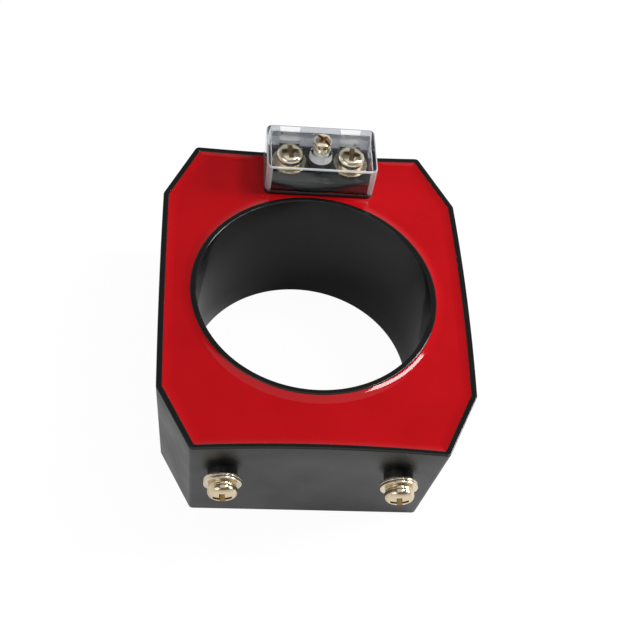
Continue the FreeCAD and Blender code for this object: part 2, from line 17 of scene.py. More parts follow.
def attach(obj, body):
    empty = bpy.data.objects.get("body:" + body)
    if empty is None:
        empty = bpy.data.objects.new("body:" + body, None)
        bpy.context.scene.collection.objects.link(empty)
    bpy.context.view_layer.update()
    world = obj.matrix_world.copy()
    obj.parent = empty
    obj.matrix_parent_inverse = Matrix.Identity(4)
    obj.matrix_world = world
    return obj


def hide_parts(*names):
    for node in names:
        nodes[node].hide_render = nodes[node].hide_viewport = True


MM = 0.001
SHARP = 32.0
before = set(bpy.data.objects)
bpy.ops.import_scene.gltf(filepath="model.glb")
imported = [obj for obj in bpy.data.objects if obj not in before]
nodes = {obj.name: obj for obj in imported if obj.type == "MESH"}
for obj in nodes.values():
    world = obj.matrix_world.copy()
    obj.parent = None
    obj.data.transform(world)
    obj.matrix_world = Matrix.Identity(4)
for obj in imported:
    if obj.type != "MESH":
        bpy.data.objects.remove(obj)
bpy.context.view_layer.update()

# %% [markdown]
# ## The camera
#
# The photograph looks down at the part from the front, a little from the left, with a long lens.
# The camera's place and turn were worked out from the corners of the rim, the ring and the floor of
# the case. The lens axis doesn't go through the middle of the picture, so the camera has a small
# shift. The camera comes first, so that every later piece can be judged through it.

# %% Camera
CAMERA_PLACE = Vector((-50.99, -273.64, 406.34)) * MM
LOOK_RIGHT = Vector((0.992032, -0.039217, 0.119702))
LOOK_UP = Vector((-0.038969, 0.808084, 0.587766))
LOOK_BACK = LOOK_RIGHT.cross(LOOK_UP)
FOCAL_PIXELS = 1330.4
PICTURE = 640
AXIS_PIXEL = (322.0, 322.6)
SENSOR = 36.0

camera_data = bpy.data.cameras.new("camera")
camera_data.sensor_width = SENSOR
camera_data.lens = FOCAL_PIXELS * SENSOR / PICTURE
camera_data.shift_x = (PICTURE / 2 - AXIS_PIXEL[0]) / PICTURE
camera_data.shift_y = (AXIS_PIXEL[1] - PICTURE / 2) / PICTURE
camera_data.clip_start = 0.01
camera_data.clip_end = 20.0
camera = bpy.data.objects.new("camera", camera_data)
turn = Matrix((LOOK_RIGHT, LOOK_UP, LOOK_BACK)).transposed()
camera.matrix_world = Matrix.Translation(CAMERA_PLACE) @ turn.to_4x4()
bpy.context.scene.collection.objects.link(camera)
bpy.context.scene.camera = camera
print("lens in mm:", round(camera_data.lens, 1))

# %% [markdown]
# ## Tools for making pieces
#
# Nearly everything here is moulded, turned or cast, so nearly everything can be made as a skin: a
# row of closed loops with the same number of points, joined by quads. A turned washer is a skin of
# circles, a moulded box is a skin of rounded rectangles, and the case is a skin that starts on its
# outer wall, goes over the rim, down inside, across the floor and back through the window. Rounded
# edges are then just more loops. Smooth shading is cut at real corners by their angle.

# %% Skins and finished meshes
def finish_mesh(bm, name, sharp_degrees=SHARP):
    """Object of a bmesh given in millimetres, shaded smooth but for its sharp edges."""
    bmesh.ops.recalc_face_normals(bm, faces=bm.faces)
    bmesh.ops.scale(bm, vec=(MM, MM, MM), verts=bm.verts)
    mesh = bpy.data.meshes.new(name)
    bm.to_mesh(mesh)
    bm.free()
    mesh.shade_smooth()
    mesh.set_sharp_from_angle(angle=math.radians(sharp_degrees))
    piece = bpy.data.objects.new(name, mesh)
    bpy.context.scene.collection.objects.link(piece)
    return piece


def skin(name, loops, ring=False, sharp_degrees=SHARP):
    """Closed surface over a row of loops; a ring joins the last to the first, else both are capped."""
    bm = bmesh.new()
    rows = [[bm.verts.new(point) for point in loop] for loop in loops]
    pairs = list(zip(rows, rows[1:]))
    if ring:
        pairs.append((rows[-1], rows[0]))
    for here, there in pairs:
        for i, vert in enumerate(here):
            j = (i + 1) % len(here)
            bm.faces.new((vert, here[j], there[j], there[i]))
    if not ring:
        bm.faces.new(rows[0])
        bm.faces.new(rows[-1])
    return finish_mesh(bm, name, sharp_degrees)


def circle(radius, height, steps=96):
    """Level circle about Z."""
    turns = [2 * math.pi * i / steps for i in range(steps)]
    return [(radius * math.cos(a), radius * math.sin(a), height) for a in turns]


def rounding(radius, steps=4):
    """(inset, drop) pairs over a rounded edge, from the wall to the flat."""
    angles = [math.pi / 2 * i / steps for i in range(steps + 1)]
    return [(radius * (1 - math.cos(a)), radius * (1 - math.sin(a))) for a in angles]


def rounded_box_loop(x, y, width, depth, radius, height, inset=0.0, corner_steps=10):
    """Rounded rectangle, its sides moved in by inset."""
    corner = max(radius - inset, 0.05)
    half_x, half_y = width / 2 - inset - corner, depth / 2 - inset - corner
    loop = []
    for quarter, (sign_x, sign_y) in enumerate(((1, 1), (-1, 1), (-1, -1), (1, -1))):
        for step in range(corner_steps + 1):
            a = math.pi / 2 * (quarter + step / corner_steps)
            loop.append((
                x + sign_x * half_x + corner * math.cos(a),
                y + sign_y * half_y + corner * math.sin(a),
                height,
            ))
    return loop


def rounded_box(name, x, y, width, depth, radius, bottom, top, edge_top=0.0, edge_bottom=0.0):
    """Upright moulded block with rounded corners and rounded top and bottom edges."""
    low, high = rounding(edge_bottom), rounding(edge_top)
    levels = [(inset, bottom + drop) for inset, drop in reversed(low)] if edge_bottom else [(0, bottom)]
    levels += [(inset, top - drop) for inset, drop in high] if edge_top else [(0, top)]
    loops = [rounded_box_loop(x, y, width, depth, radius, z, inset) for inset, z in levels]
    return skin(name, loops)


def turned(name, profile, ring=True):
    """Turned piece about Z from (radius, height) points; a ring profile closes on itself."""
    return skin(name, [circle(max(radius, 0.01), height) for radius, height in profile], ring)


# %% Cutting one piece with others
def cut(piece, *tools, union=False):
    """Takes the tools out of the piece, or adds them to it, and throws the tools away."""
    for tool in tools:
        step = piece.modifiers.new("cut", "BOOLEAN")
        step.operation = "UNION" if union else "DIFFERENCE"
        step.solver = "EXACT"
        step.object = tool
    bpy.context.view_layer.update()
    graph = bpy.context.evaluated_depsgraph_get()
    mesh = bpy.data.meshes.new_from_object(piece.evaluated_get(graph))
    piece.modifiers.clear()
    piece.data = mesh
    for tool in tools:
        bpy.data.objects.remove(tool)
    mesh.shade_smooth()
    mesh.set_sharp_from_angle(angle=math.radians(SHARP))


def soften(piece, width=0.12, degrees=SHARP):
    """Rounds the sharp edges a little, as a mould or a tumbler does."""
    bevel = piece.modifiers.new("soften", "BEVEL")
    bevel.width = width * MM
    bevel.segments = 2
    bevel.limit_method = "ANGLE"
    bevel.angle_limit = math.radians(degrees)
    bevel.harden_normals = True


def place(piece, x, y, z, tilt=0.0, spin=0.0):
    """Moves a finished piece to its place: spin about its own axis, then tilt about X."""
    turn = Matrix.Rotation(tilt, 4, "X") @ Matrix.Rotation(spin, 4, "Z")
    piece.data.transform(Matrix.Translation(Vector((x, y, z)) * MM) @ turn)
    return piece


def twin(piece, name):
    """Second piece with the same mesh, modifiers and materials."""
    copy = piece.copy()
    copy.data = piece.data.copy()
    copy.name = name
    bpy.context.scene.collection.objects.link(copy)
    return copy


# %% [markdown]
# ## Tools for finishes
#
# Every finish here is a node material. A small helper makes the shader and sets the numbers that are
# the same all over the surface straight on its sockets. Three more lay noise on it, for the small
# differences in colour, gloss and height that a real surface has. Noise is measured in the object's
# own coordinates, so its lumps have a true size, which is given in millimetres.

# %% Material helpers
def new_finish(name, **sockets):
    """Node material with one Principled shader and constants on its sockets."""
    material = bpy.data.materials.new(name)
    material.use_nodes = True
    shader = material.node_tree.nodes["Principled BSDF"]
    for socket, value in sockets.items():
        shader.inputs[socket.replace("_", " ")].default_value = value
    return material, shader


def noise(material, size_mm, detail=3.0, stretch=(1, 1, 1)):
    """Noise whose lumps are about size_mm across."""
    tree = material.node_tree
    where = tree.nodes.new("ShaderNodeTexCoord")
    mapping = tree.nodes.new("ShaderNodeMapping")
    mapping.inputs["Scale"].default_value = stretch
    texture = tree.nodes.new("ShaderNodeTexNoise")
    texture.inputs["Scale"].default_value = 1.0 / (size_mm * MM)
    texture.inputs["Detail"].default_value = detail
    tree.links.new(where.outputs["Object"], mapping.inputs["Vector"])
    tree.links.new(mapping.outputs["Vector"], texture.inputs["Vector"])
    return texture.outputs["Fac"]


def spread(material, value, low, high, start=0.3, end=0.7):
    """Maps the middle of a noise to the range low to high."""
    node = material.node_tree.nodes.new("ShaderNodeMapRange")
    node.inputs["From Min"].default_value = start
    node.inputs["From Max"].default_value = end
    node.inputs["To Min"].default_value = low
    node.inputs["To Max"].default_value = high
    material.node_tree.links.new(value, node.inputs["Value"])
    return node.outputs["Result"]


def two_tones(material, shader, size_mm, dark, light):
    """Colour that wanders between two tones in lumps of the given size."""
    node = material.node_tree.nodes.new("ShaderNodeMix")
    node.data_type = "RGBA"
    node.inputs["A"].default_value = (*dark, 1)
    node.inputs["B"].default_value = (*light, 1)
    material.node_tree.links.new(spread(material, noise(material, size_mm), 0, 1), node.inputs["Factor"])
    material.node_tree.links.new(node.outputs["Result"], shader.inputs["Base Color"])


def uneven_gloss(material, shader, size_mm, low, high, detail=3.0):
    """Roughness that wanders from low to high in lumps of the given size."""
    value = spread(material, noise(material, size_mm, detail), low, high)
    material.node_tree.links.new(value, shader.inputs["Roughness"])


def relief(material, shader, size_mm, depth_mm, detail=2.0, stretch=(1, 1, 1)):
    """Bumps of the given size and depth."""
    node = material.node_tree.nodes.new("ShaderNodeBump")
    node.inputs["Strength"].default_value = 1.0
    node.inputs["Distance"].default_value = depth_mm * MM
    material.node_tree.links.new(noise(material, size_mm, detail, stretch), node.inputs["Height"])
    material.node_tree.links.new(node.outputs["Normal"], shader.inputs["Normal"])


def paint(piece, *materials):
    """Gives the piece its materials; all its faces get the first one."""
    slots = piece.data.materials
    slots.clear()
    for material in materials:
        slots.append(material)


# %% [markdown]
# ## Moulded black plastic
#
# The case is injection moulded in black ABS or polycarbonate: not quite black, with a satin gloss
# that a fine orange peel breaks up. Gloss that changes over a centimetre or two keeps large walls
# from looking like paper. The tube and the rim are the same black, but glossier, so they mirror
# their surroundings. The terminal block is painted a little greyer: a painted sheen for the room that the
# clear cover over it reflects.

# %% Black plastics
def moulded_black(name, tone, smoothest, roughest):
    """Black plastic with an orange peel and an uneven gloss."""
    material, shader = new_finish(name, IOR=1.5)
    two_tones(material, shader, 9.0, tone, [c * 1.5 for c in tone])
    uneven_gloss(material, shader, 14.0, smoothest, roughest, detail=4.0)
    relief(material, shader, 0.7, 0.006)
    return material


CASE_BLACK = (0.005, 0.0052, 0.0048)
case_plastic = moulded_black("case_plastic", CASE_BLACK, 0.34, 0.44)
tube_plastic = moulded_black("tube_plastic", CASE_BLACK, 0.08, 0.14)
# painted sheen: the block's lighter grey stands in for the reflection on the clear cover in front of it
block_plastic = moulded_black("block_plastic", (0.02, 0.0215, 0.022), 0.2, 0.26)

# %% [markdown]
# ## The case
#
# The case is an eight-sided box whose walls lean in towards the foot, so that it leaves its mould.
# The resin shrank when it set and pulled the rim out of line: the front and back edges bow in, the
# sides bow out. All of that is in one outline function, which gives the same number of points at
# every height, so the walls can be skinned as ruled surfaces. The eight sides are counted from the
# front: front, corner, right, corner, back, corner, left, corner. A round pad under each bracket
# screw is joined to the front wall, and the hole for its brass insert is cut.

# %% Sizes and outline of the case
CASE_WIDTH, CASE_DEPTH, CASE_HEIGHT = 104.0, 127.2, 52.0
CORNER_CUT = (11.2, 22.8)
FOOT_INSETS = (7.6, 5.1, 2.6, 5.1)
RIM_SWELLS = (-1.4, 0.0, 0.9, 0.0, -0.9, 0.0, 0.3, 0.0)
WALL, FLOOR = 2.0, 2.5
BORE_RADIUS, TUBE_OUTER = 40.0, 42.0
OUTER_CORNER, INNER_CORNER = 1.6, 0.8
CORNER_POINTS, SIDE_POINTS = 8, 30
RIM_ROUNDING, FOOT_CHAMFER, SMALL_ROUNDING = 0.35, 0.6, 0.4
LEVELS_BETWEEN = [CASE_HEIGHT * share for share in (0.2, 0.4, 0.6, 0.8)]


def case_corners(z, inset):
    """Corners of the eight sides at height z, each side moved in by inset."""
    half_x, half_y = CASE_WIDTH / 2, CASE_DEPTH / 2
    cut_x, cut_y = half_x - CORNER_CUT[0], half_y - CORNER_CUT[1]
    rim = [(-cut_x, -half_y), (cut_x, -half_y), (half_x, -cut_y), (half_x, cut_y)]
    rim += [(-x, -y) for x, y in rim]
    lines = []
    for i, start in enumerate(rim):
        start = Vector(start)
        along = (Vector(rim[(i + 1) % 8]) - start).normalized()
        inward = Vector((-along.y, along.x))
        lines.append((start + inward * (inset + FOOT_INSETS[i % 4] * (1 - z / CASE_HEIGHT)), along))
    corners = []
    for i, (start, along) in enumerate(lines):
        before_start, before = lines[i - 1]
        gap = start - before_start
        corners.append(before_start + before * (gap.cross(along) / before.cross(along)))
    return corners


def case_outline(z, inset=0.0, radius=OUTER_CORNER):
    """Loop of points round the case at height z, with rounded corners and the pulled sides."""
    corners = case_corners(z, inset)
    arcs = []
    for i, corner in enumerate(corners):
        arrive = (corner - corners[i - 1]).normalized()
        leave = (corners[(i + 1) % 8] - corner).normalized()
        half_turn = arrive.angle(leave) / 2
        centre = corner + (leave - arrive).normalized() * radius / math.cos(half_turn)
        start = math.atan2(-arrive.x, arrive.y)
        arc = []
        for step in range(CORNER_POINTS):
            a = start + 2 * half_turn * step / (CORNER_POINTS - 1)
            arc.append(centre + Vector((math.cos(a), math.sin(a))) * radius)
        arcs.append(arc)
    loop = []
    for i, arc in enumerate(arcs):
        loop += arc
        start, end = arc[-1], arcs[(i + 1) % 8][0]
        along = (end - start).normalized()
        outward = Vector((along.y, -along.x)) * RIM_SWELLS[i] * z / CASE_HEIGHT
        for step in range(1, SIDE_POINTS):
            share = step / SIDE_POINTS
            loop.append(start.lerp(end, share) + outward * 4 * share * (1 - share))
    return [(point.x, point.y, z) for point in loop]


RIM_ANGLES = [math.atan2(y, x) for x, y, _ in case_outline(CASE_HEIGHT)]


def matching_circle(radius, height):
    """Circle whose points lie at the same angles as those of the case outline."""
    return [(radius * math.cos(a), radius * math.sin(a), height) for a in RIM_ANGLES]


print("points in the case outline:", len(RIM_ANGLES))

# %% Case
over_rim = rounding(RIM_ROUNDING)
loops = [case_outline(0, FOOT_CHAMFER), case_outline(FOOT_CHAMFER)]
loops += [case_outline(z) for z in LEVELS_BETWEEN]
loops += [case_outline(CASE_HEIGHT - drop, inset) for inset, drop in over_rim]
loops += [case_outline(CASE_HEIGHT - drop, WALL - inset, INNER_CORNER) for inset, drop in reversed(over_rim)]
loops += [case_outline(FLOOR, WALL, INNER_CORNER), matching_circle(TUBE_OUTER, FLOOR)]
loops += [matching_circle(TUBE_OUTER - inset, CASE_HEIGHT - drop) for inset, drop in over_rim]
loops += [matching_circle(BORE_RADIUS + inset, CASE_HEIGHT - drop) for inset, drop in reversed(over_rim)]
loops += [matching_circle(BORE_RADIUS, z) for z in reversed(LEVELS_BETWEEN)]
loops += [matching_circle(BORE_RADIUS + inset, drop) for inset, drop in rounding(SMALL_ROUNDING)]
case = skin("case_moulding", loops, ring=True, sharp_degrees=30)

# %% Pads and insert holes in the front wall
BRACKET_PLACES = {"left": -29.7, "right": 27.3}
BRACKET_Z = 34.2
BRACKET_TILT = math.pi / 2 + math.atan(FOOT_INSETS[0] / CASE_HEIGHT)
BRACKET_Y = -(CASE_DEPTH / 2 - FOOT_INSETS[0] * (1 - BRACKET_Z / CASE_HEIGHT))
PAD_RADIUS, PAD_HEIGHT, PAD_ROOT = 4.8, 1.9, -1.0
INSERT_RADIUS, INSERT_FACE = 3.7, 1.6
pads, drills = [], []
for x in BRACKET_PLACES.values():
    edge = [(PAD_RADIUS - inset, PAD_HEIGHT - drop) for inset, drop in rounding(SMALL_ROUNDING)]
    pad = turned("pad", [(PAD_RADIUS, PAD_ROOT)] + edge, ring=False)
    pads.append(place(pad, x, BRACKET_Y, BRACKET_Z, BRACKET_TILT))
    drill = skin("drill", [circle(INSERT_RADIUS, z, 64) for z in (INSERT_FACE, PAD_HEIGHT + 2.0)])
    drills.append(place(drill, x, BRACKET_Y, BRACKET_Z, BRACKET_TILT))
cut(case, *pads, union=True)
cut(case, *drills)

# %% Finish of the case
GLOSSY_BAND, FACING_UP = 0.5, 0.4
paint(case, case_plastic, tube_plastic)
for face in case.data.polygons:
    on_rim = face.center.z > (CASE_HEIGHT - GLOSSY_BAND) * MM and face.normal.z > FACING_UP
    if on_rim or face.center.xy.length < (TUBE_OUTER + GLOSSY_BAND) * MM:
        face.material_index = 1
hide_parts("case")
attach(case, "root")
print("faces in the case:", len(case.data.polygons))

# %% [markdown]
# ## The red resin
#
# Casting resin is poured in as a liquid and levels itself, so its face is a mirror, but it climbs
# every wall that it wets. That fillet is what catches the light as a thin bright line beside each
# black edge, so it has to be real geometry. Its height falls off with the distance from each wall:
# the ring, the outer wall and the terminal block. The loops are close together near the walls, where
# the surface bends, and wide apart in the middle.

# %% Resin finish
resin_red, shader = new_finish("resin_red", IOR=1.5, Specular_IOR_Level=0.3)
two_tones(resin_red, shader, 16.0, (0.43, 0.0024, 0.0055), (0.47, 0.0032, 0.0068))
uneven_gloss(resin_red, shader, 20.0, 0.04, 0.08)
relief(resin_red, shader, 12.0, 0.03, detail=1.0)

# %% Resin
RESIN_LEVEL = 51.2
CLIMB, CLIMB_WIDTH, CLIMB_POWER = 0.6, 3.2, 1.7
TERMINAL_X, TERMINAL_Y, TERMINAL_PITCH = 3.1, 53.45, 21.9
FLANGE = (39.4, 21.3, 2.5)
NEAR_WALL = (0.0, 0.15, 0.3, 0.5, 0.75, 1.05, 1.4, 1.8, 2.3, 2.8, 3.05, 3.2, 3.4)
MIDDLE_STEPS = 25


def distance_to_loop(points, loop):
    """Shortest distance of each point from a closed line, in plan."""
    starts = np.array(loop)[:, :2]
    runs = np.roll(starts, -1, axis=0) - starts
    best = np.full(len(points), 1e9)
    for start, run in zip(starts, runs):
        share = np.clip(((points - start) @ run) / (run @ run), 0, 1)
        best = np.minimum(best, np.linalg.norm(points - start - share[:, None] * run, axis=1))
    return best


def distance_to_flange(points):
    """Distance of each point outside the rounded flange of the terminal block, 0 inside it."""
    width, depth, radius = FLANGE
    half = np.array([width / 2 - radius, depth / 2 - radius])
    beyond = np.maximum(np.abs(points - np.array([TERMINAL_X, TERMINAL_Y])) - half, 0)
    return np.maximum(np.linalg.norm(beyond, axis=1) - radius, 0)


wall_loop = case_outline(CASE_HEIGHT, WALL, INNER_CORNER)
inner, outer = np.array(matching_circle(TUBE_OUTER, 0))[:, :2], np.array(wall_loop)[:, :2]
way = outer - inner
length = np.linalg.norm(way, axis=1)[:, None]
rows = [inner + way / length * d for d in NEAR_WALL]
edge_share = NEAR_WALL[-1] / length
for share in np.linspace(0, 1, MIDDLE_STEPS + 1)[1:-1]:
    rows.append(inner + way * (edge_share + (1 - 2 * edge_share) * share))
rows += [outer - way / length * d for d in reversed(NEAR_WALL)]
flat = np.concatenate(rows)
to_ring = np.linalg.norm(flat, axis=1) - TUBE_OUTER
distances = (to_ring, distance_to_loop(flat, wall_loop), distance_to_flange(flat))
climb = sum(np.clip(1 - distance / CLIMB_WIDTH, 0, 1) ** CLIMB_POWER for distance in distances)
heights = RESIN_LEVEL + CLIMB * np.minimum(climb, 1.0)
top = np.column_stack([flat, heights]).reshape(len(rows), -1, 3)
loops = [[tuple(point) for point in row] for row in top.tolist()]
loops += [case_outline(FLOOR, WALL, INNER_CORNER), matching_circle(TUBE_OUTER, FLOOR)]
resin = skin("resin_fill", loops, ring=True, sharp_degrees=50)
paint(resin, resin_red)
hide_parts("potting_resin")
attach(resin, "root")
print("faces in the resin:", len(resin.data.polygons))

# %% [markdown]
# ## Plated steel
#
# The screws and washers are nickel-plated steel, which is a warm, slightly golden mirror with a fine
# grain. Flat washers and spring washers each have a tone of their own. The bracket screws and all
# threads are painted a darker brown, a painted shade against the strong key light, and the screws and
# spring washers of the terminals and the cover are painted the palest, a painted light for the light
# that the clear cover keeps from the terminals. The cross recesses are painted a dull brown, a painted shade
# for their hollows.

# %% Metals
def plated(name, tone, roughness):
    """Metal whose tone and gloss change a little from place to place."""
    material, shader = new_finish(name, Metallic=1.0)
    two_tones(material, shader, 1.6, tone, [min(c * 1.1, 1.0) for c in tone])
    uneven_gloss(material, shader, 1.2, roughness, roughness + 0.1, detail=4.0)
    relief(material, shader, 0.25, 0.002)
    return material


# painted shade: this darker brown copy of the plating stands in for shade against the strong key light
nickel_painted_shade = plated("nickel_painted_shade", (0.66, 0.55, 0.38), 0.1)
# painted light: this palest copy of the plating stands in for the light that the clear cover keeps from the
# terminal screws
nickel_painted_light = plated("nickel_painted_light", (0.92, 0.82, 0.62), 0.1)
washer_nickel = plated("washer_nickel", (0.7, 0.62, 0.47), 0.2)
spring_nickel = plated("spring_nickel", (0.62, 0.52, 0.36), 0.18)
insert_brass = plated("insert_brass", (0.7, 0.5, 0.2), 0.28)
# painted shade: the dull brown of the cross recesses
recess_shade = plated("recess_shade", (0.36, 0.24, 0.1), 0.35)

# %% [markdown]
# ## Pan-head screws
#
# Two of these clamp the secondary wires and two wait in the front wall for a bracket. The head is a
# skin of circles over its rounded shoulder and crown, whose outline is given in shares of the head's
# radius and height. The cross recess is cut out of it with two crossed wedges. The threads are a skin
# as well: the radius goes up and down with height and angle, which winds the ridges into a helix.

# %% Pan-head screw
HEAD_RADIUS, HEAD_HEIGHT = 4.85, 3.5
HEAD_OUTLINE = ((1.0, 0.32), (0.93, 0.6), (0.74, 0.81), (0.38, 0.945))
RECESS_SPAN, RECESS_WIDTH, RECESS_DEPTH, RECESS_REACH = 6.9, 1.75, 2.3, 3.7
NECK_RADIUS, SHANK_RADIUS, SHANK_LENGTH, SHANK_PITCH = 2.2, 2.5, 6.7, 0.8
HEAD_EDGE, CROWN_TIP, INTO_HEAD = 0.25, 0.05, 0.05


def arc_points(start, middle, end, steps=8):
    """Points along the circle through three (radius, height) points."""
    (ax, ay), (bx, by), (cx, cy) = start, middle, end
    d = 2 * (ax * (by - cy) + bx * (cy - ay) + cx * (ay - by))
    a2, b2, c2 = ax * ax + ay * ay, bx * bx + by * by, cx * cx + cy * cy
    ux = (a2 * (by - cy) + b2 * (cy - ay) + c2 * (ay - by)) / d
    uy = (a2 * (cx - bx) + b2 * (ax - cx) + c2 * (bx - ax)) / d
    first, last = math.atan2(ay - uy, ax - ux), math.atan2(cy - uy, cx - ux)
    radius = math.hypot(ax - ux, ay - uy)
    turns = [first + (last - first) * i / steps for i in range(steps + 1)]
    return [(ux + radius * math.cos(a), uy + radius * math.sin(a)) for a in turns]


def cross_tool(span, width, depth, top):
    """Two crossed wedges that cut a cross recess, wide at the mouth and narrow at the tip."""
    mouth, tip = (0.64, 0.6, top + depth * 0.4), (0.2, 0.4, top - depth)
    wedges = []
    for spin in (0.0, math.pi / 2):
        bm = bmesh.new()
        for share, half_width, z in (mouth, tip):
            for sx, sy in ((-1, -1), (1, -1), (1, 1), (-1, 1)):
                bm.verts.new((sx * span * share, sy * width * half_width, z))
        bmesh.ops.convex_hull(bm, input=bm.verts)
        bmesh.ops.rotate(bm, verts=bm.verts, matrix=Matrix.Rotation(spin, 3, "Z"))
        wedges.append(finish_mesh(bm, "wedge"))
    return wedges


def shade_recess(head, reach, top, depth):
    """Paints the walls and the floor of a recess a dull brown, a painted shade; its mouth keeps the head's
    finish.
    """
    head.data.materials.append(recess_shade)
    for face in head.data.polygons:
        centre = face.center / MM
        inside = centre.xy.length < reach and centre.z > top - depth - 0.1
        steep, deep = face.normal.z < 0.75, centre.z < top - depth * 0.6
        if inside and (steep or deep):
            face.material_index = 1


def threaded(name, radius, pitch, bottom, top, depth=0.3, steps=48):
    """Threaded rod: its radius follows the helix of the thread."""
    loops = []
    loops_per_turn, steepness = 10, 2.6
    count = int((top - bottom) / pitch * loops_per_turn)
    for k in range(count + 1):
        z = bottom + (top - bottom) * k / count
        loop = []
        for i in range(steps):
            turn = 2 * math.pi * i / steps
            phase = (z / pitch - i / steps) % 1.0
            ridge = min(1.0, abs(phase - 0.5) * steepness)
            r = radius - depth * (1 - ridge)
            loop.append((r * math.cos(turn), r * math.sin(turn), z))
        loops.append(loop)
    return skin(name, loops, sharp_degrees=60)


def pan_head(name):
    """Head of a pan-head screw with its underside at height 0, and its threaded shank."""
    waist, bend, brow, top = ((HEAD_RADIUS * r, HEAD_HEIGHT * z) for r, z in HEAD_OUTLINE)
    edge = [(HEAD_RADIUS - inset, drop) for inset, drop in reversed(rounding(HEAD_EDGE))]
    shoulder, crown = arc_points(waist, bend, brow), arc_points(brow, top, (0.0, HEAD_HEIGHT))
    profile = [(NECK_RADIUS, 0.0)] + edge + shoulder + crown[1:-1] + [(CROWN_TIP, HEAD_HEIGHT)]
    head = turned(name, profile, ring=False)
    cut(head, *cross_tool(RECESS_SPAN, RECESS_WIDTH, RECESS_DEPTH, HEAD_HEIGHT))
    paint(head, nickel_painted_shade)
    shade_recess(head, RECESS_REACH, HEAD_HEIGHT, RECESS_DEPTH)
    soften(head, 0.1, 40.0)
    shank = threaded(name + "_thread", SHANK_RADIUS, SHANK_PITCH, -SHANK_LENGTH, INTO_HEAD)
    return head, shank


# %% [markdown]
# ## Washers
#
# A spring washer is one turn of square wire whose ends don't meet. A flat washer is stamped, which
# leaves one edge rounder than the other. Both are small, but their bright edges are what the eye
# reads as a screw stack. A bracket screw has a second flat washer at the back of its stack, because
# the bracket is clamped between the two.

# %% Washers
WASHER_HOLE, SPRING_OUTER, FLAT_OUTER = 2.65, 4.5, 6.15
SPRING_THICKNESS, FLAT_THICKNESS = 1.3, 1.0


def spring_washer(name, inner, outer, thickness, gap_degrees=14.0, twist=0.12):
    """Split ring: a rectangle with rounded corners swept almost all the way round."""
    steps, edge = 72, 0.14
    low, high = edge, thickness - edge
    corners = ((outer - edge, high), (inner + edge, high), (inner + edge, low), (outer - edge, low))
    section = []
    for quarter, (cx, cz) in enumerate(corners):
        for k in range(4):
            a = math.pi / 2 * (quarter + k / 3)
            section.append((cx + edge * math.cos(a), cz + edge * math.sin(a)))
    loops = []
    for i in range(steps + 1):
        share = i / steps
        a = math.radians(gap_degrees / 2 + (360 - gap_degrees) * share)
        lift = twist * (share - 0.5)
        loops.append([(r * math.cos(a), r * math.sin(a), z + lift) for r, z in section])
    return skin(name, loops, sharp_degrees=40.0)


def flat_washer(name, inner, outer, thickness):
    """Stamped ring, its upper outer edge rounder than the lower one."""
    soft, crisp, chamfer = 0.22, 0.08, 0.1
    profile = [(inner, crisp), (inner + crisp, 0.0)]
    profile += [(outer - inset, drop) for inset, drop in reversed(rounding(crisp))]
    profile += [(outer - inset, thickness - drop) for inset, drop in rounding(soft)]
    profile += [(inner + chamfer, thickness), (inner, thickness - chamfer)]
    return turned(name, profile)


# %% Screw stacks at the terminals and in the front wall
BLOCK_TOP = 57.4
LOOSE_GAP = 0.5
ABOVE_PAD = PAD_HEIGHT + LOOSE_GAP
TERMINAL_PLACES = {"s1": TERMINAL_X - TERMINAL_PITCH / 2, "s2": TERMINAL_X + TERMINAL_PITCH / 2}
CROSS_TURNS = {"s1": 5, "s2": -7, "left": 6, "right": 11}
master_head, master_shank = pan_head("master_head")
master_spring = spring_washer("master_spring", WASHER_HOLE, SPRING_OUTER, SPRING_THICKNESS)
master_flat = flat_washer("master_flat", WASHER_HOLE, FLAT_OUTER, FLAT_THICKNESS)
paint(master_shank, nickel_painted_shade)
paint(master_spring, spring_nickel)
paint(master_flat, washer_nickel)
for kind, places in (("terminal", TERMINAL_PLACES), ("bracket", BRACKET_PLACES)):
    for side, x in places.items():
        if kind == "terminal":
            y, z, tilt, foot, split_turn = TERMINAL_Y, BLOCK_TOP, 0.0, 0.0, 90
        else:
            y, z, tilt, foot, split_turn = BRACKET_Y, BRACKET_Z, BRACKET_TILT, ABOVE_PAD + FLAT_THICKNESS, -90
        levels = {
            "screw": (master_head, foot + FLAT_THICKNESS + SPRING_THICKNESS),
            "thread": (master_shank, foot + FLAT_THICKNESS + SPRING_THICKNESS),
            "spring_washer": (master_spring, foot + FLAT_THICKNESS),
            "flat_washer": (master_flat, foot),
        }
        if kind == "bracket":
            levels["back_washer"] = (master_flat, ABOVE_PAD)
        for part, (master, level) in levels.items():
            piece = twin(master, "_".join((kind, part, side, "piece")))
            piece.data.transform(Matrix.Translation((0, 0, level * MM)))
            spin = split_turn if part == "spring_washer" else CROSS_TURNS[side]
            place(piece, x, y, z, tilt, math.radians(spin))
            if kind == "terminal" and part in ("screw", "spring_washer"):
                # terminal screws and spring washers get the palest copy, a painted light
                piece.data.materials[0] = nickel_painted_light
            if part != "thread":
                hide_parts("_".join((kind, part, side)))
            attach(piece, "root")
for master in (master_head, master_shank, master_spring, master_flat):
    bpy.data.objects.remove(master)

# %% [markdown]
# ## The terminal block
#
# A black moulding stands in the resin under the clear cover. Its glossy flange carries the cover,
# its flat top carries the terminals, and a post in the middle takes the cover screw. It is joined
# from rounded blocks with boolean unions and then softened. Behind the terminals stands a guide of
# smoked plastic with a way for each wire.

